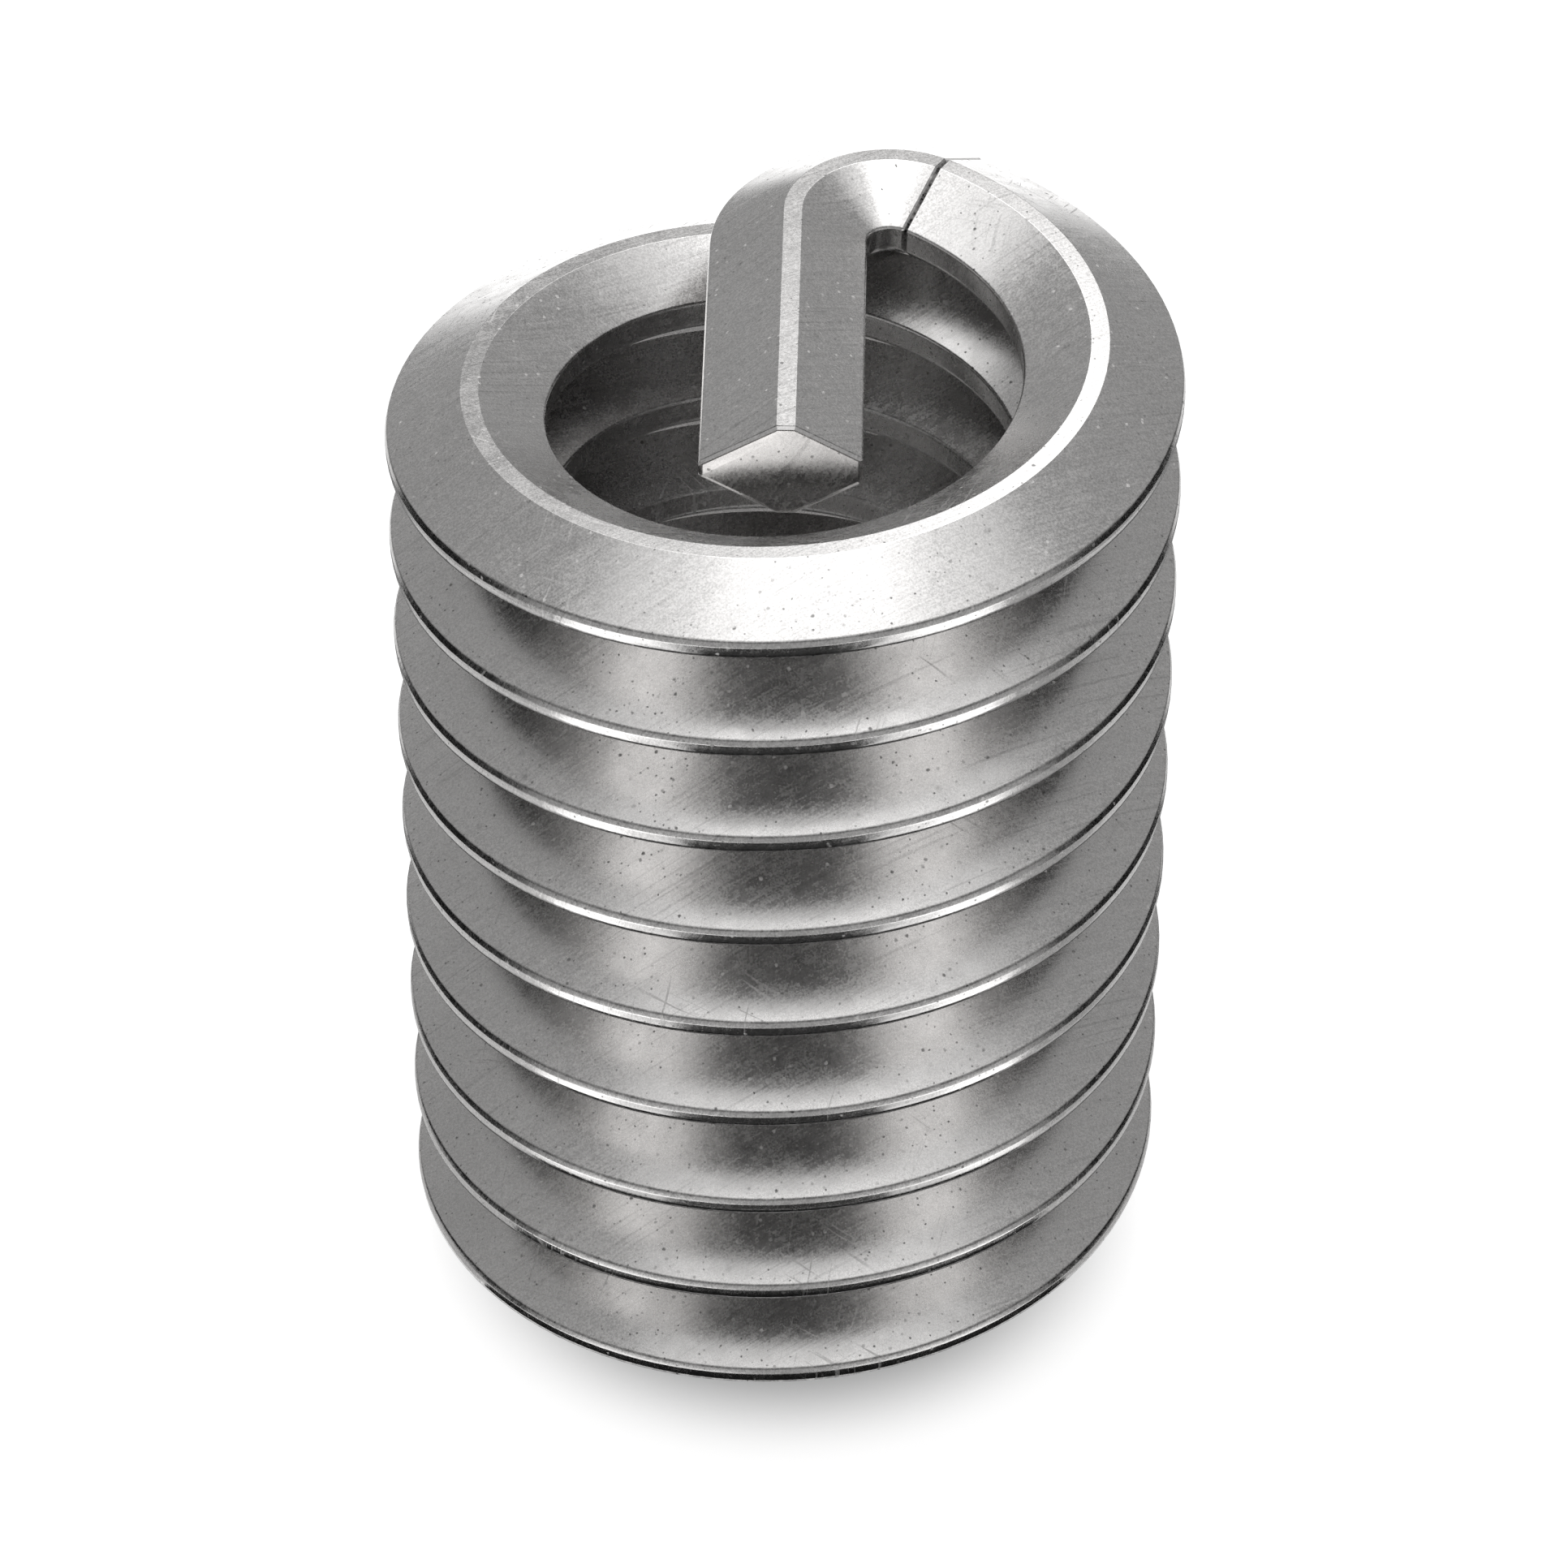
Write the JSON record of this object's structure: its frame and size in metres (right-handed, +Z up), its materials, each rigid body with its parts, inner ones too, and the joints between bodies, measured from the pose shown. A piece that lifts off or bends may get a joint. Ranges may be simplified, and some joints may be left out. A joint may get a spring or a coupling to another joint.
{
  "type": "helical thread insert",
  "caption": "Coil of diamond-shaped steel wire that lines a tapped hole, with a break-off drive tang across its top.",
  "frame": {"origin": "on the coil's axis, at the height of its lowest point, where the plain end stands", "axes": "+Z up the coil's axis to the tang end, -Y the way the tang points, right-handed coil"},
  "size_m": [0.0084, 0.0084, 0.0125],
  "materials": {
    "stainless_wire": "drawn stainless steel wire with a satin skin, fine diagonal brush lines and sparse tiny pits"
  },
  "bodies": {
    "root": {"thread_insert": "stainless_wire"}
  },
  "joints": []
}
